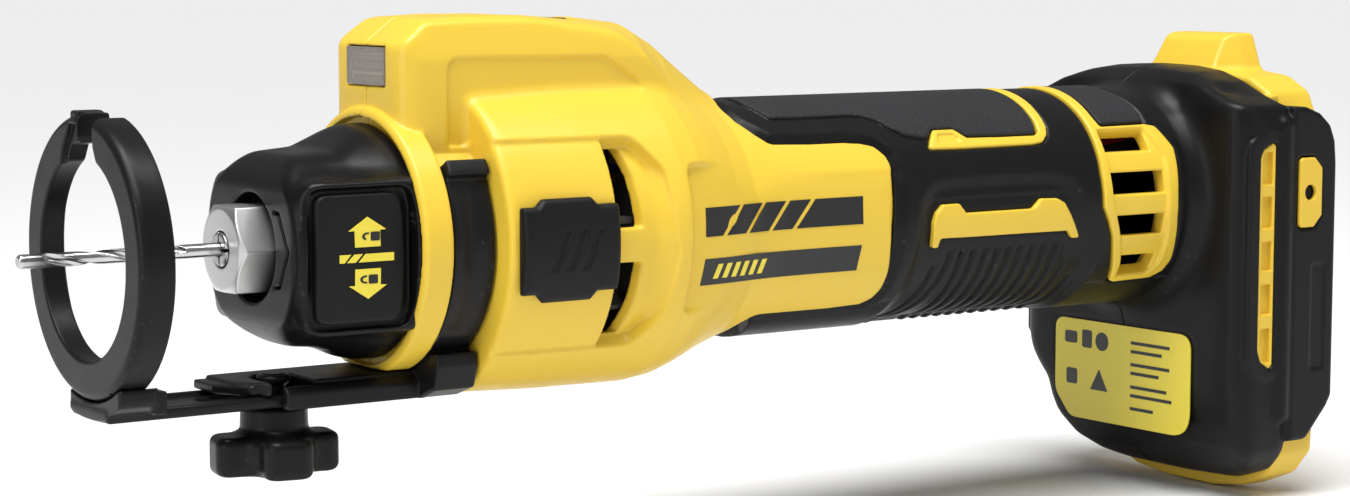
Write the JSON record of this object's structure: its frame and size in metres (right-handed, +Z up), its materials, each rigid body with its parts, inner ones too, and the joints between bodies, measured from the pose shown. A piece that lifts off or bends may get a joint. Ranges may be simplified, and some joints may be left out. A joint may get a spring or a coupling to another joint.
{
  "type": "cordless rotary cut-out tool",
  "caption": "Barrel-grip cordless spiral cutting tool with a twist-lock nose, a sliding ring depth guide, a top push button and a slide-in battery foot.",
  "frame": {"origin": "on the spindle axis, at the face of the raised seat pad on the floor of the battery receptacle", "axes": "+X out of the battery receptacle, away from the bit, along the spindle axis; +Z up, towards the power button; +Y towards the right-hand side of a user who points the bit forward"},
  "size_m": [0.3546, 0.0896, 0.1316],
  "materials": {
    "yellow_plastic": "satin moulded nylon",
    "core_yellow": "satin moulded nylon",
    "black_plastic": "fine-textured moulded nylon",
    "sleeve_pad": null,
    "guide_plastic": "textured moulded nylon",
    "dark_nylon": "moulded nylon",
    "rubber_grip": "soft overmould, fine texture",
    "grip_pad": "coarse-textured overmould",
    "button_rubber": "smooth moulded boot",
    "label_yellow": "smooth label film",
    "lamp_lens": "clear smoked lens",
    "screw_steel": "black oxide",
    "bit_steel": "ground bright steel",
    "nut_steel": "satin machined steel",
    "collet_steel": "ground steel",
    "bearing_steel": "ground steel",
    "lamination_steel": "stacked laminations",
    "copper_wire": "enamelled copper wire",
    "contact_brass": "plated contact strip",
    "cast_aluminium": "die cast",
    "black_steel": "black powder coat, fine texture",
    "board_green": "potted circuit board",
    "lead_red": "silicone wire sleeve",
    "lead_black": "silicone wire sleeve",
    "lead_blue": "silicone wire sleeve",
    "lead_white": "silicone wire sleeve"
  },
  "bodies": {
    "housing": {"housing_left": "yellow_plastic", "housing_right": "yellow_plastic", "screw_barrel_upper": "screw_steel", "screw_barrel_lower": "screw_steel", "screw_handle_upper": "screw_steel", "screw_handle_lower": "screw_steel", "handle_grip_left": "rubber_grip", "handle_grip_right": "rubber_grip", "grip_top_pad": "grip_pad", "rear_vent_left": "yellow_plastic", "rear_vent_right": "yellow_plastic", "side_badge_left": "black_plastic", "side_badge_right": "black_plastic", "foot_shell_left": "black_plastic", "foot_shell_right": "black_plastic", "foot_vent_left": "yellow_plastic", "foot_vent_right": "yellow_plastic", "hook_pad_left": "yellow_plastic", "hook_pad_right": "yellow_plastic", "rating_plate": "label_yellow", "battery_receptacle": "core_yellow", "terminal_block": "dark_nylon", "terminal_blade_minus": "contact_brass", "terminal_blade_sense": "contact_brass", "terminal_blade_data": "contact_brass", "terminal_blade_plus": "contact_brass", "front_bearing": "bearing_steel", "bearing_retainer": "bearing_steel", "winding_front": "copper_wire", "stator_core": "lamination_steel", "winding_rear": "copper_wire", "rear_bearing_plate": "dark_nylon", "rear_bearing": "bearing_steel", "nose_core": "dark_nylon", "led_lens": "lamp_lens", "led_board": "board_green", "switch_body": "dark_nylon", "controller_tray": "cast_aluminium", "controller_board": "board_green", "power_lead_plus": "lead_red", "power_lead_minus": "lead_black", "phase_lead_1": "lead_blue", "phase_lead_2": "lead_white", "guide_bracket": "black_steel", "clamp_bolt": "black_steel"},
    "rotor": {"spindle": "collet_steel", "collet": "collet_steel", "collet_nut": "nut_steel", "spiral_bit": "bit_steel", "rotor_core": "lamination_steel", "magnet_ring": "lamination_steel", "cooling_fan": "dark_nylon"},
    "lock_sleeve": {"lock_sleeve": "black_plastic", "sleeve_pad_left": "sleeve_pad", "sleeve_pad_right": "sleeve_pad"},
    "power_button": {"power_button": "button_rubber"},
    "depth_guide": {"guide_bar": "black_steel", "guide_ring": "guide_plastic"},
    "clamp_knob": {"clamp_knob": "black_plastic"}
  },
  "joints": [
    {"name": "spindle_spin", "type": "hinge", "parent": "housing", "child": "rotor", "pos_m": [-0.25, 0, 0], "axis": [1, 0, 0], "continuous": true},
    {"name": "sleeve_turn", "type": "hinge", "parent": "housing", "child": "lock_sleeve", "pos_m": [-0.27, 0, 0], "axis": [1, 0, 0], "range_deg": [0, 30]},
    {"name": "button_press", "type": "slide", "parent": "housing", "child": "power_button", "axis": [0, 0, -1], "range_m": [0, 0.0015], "stiffness_N_per_m": 800, "springref_m": -0.0008},
    {"name": "guide_slide", "type": "slide", "parent": "housing", "child": "depth_guide", "axis": [1, 0, 0], "range_m": [-0.012, 0.007]},
    {"name": "knob_turn", "type": "hinge", "parent": "housing", "child": "clamp_knob", "pos_m": [-0.2817, 0, -0.045], "axis": [0, 0, 1], "continuous": true}
  ]
}
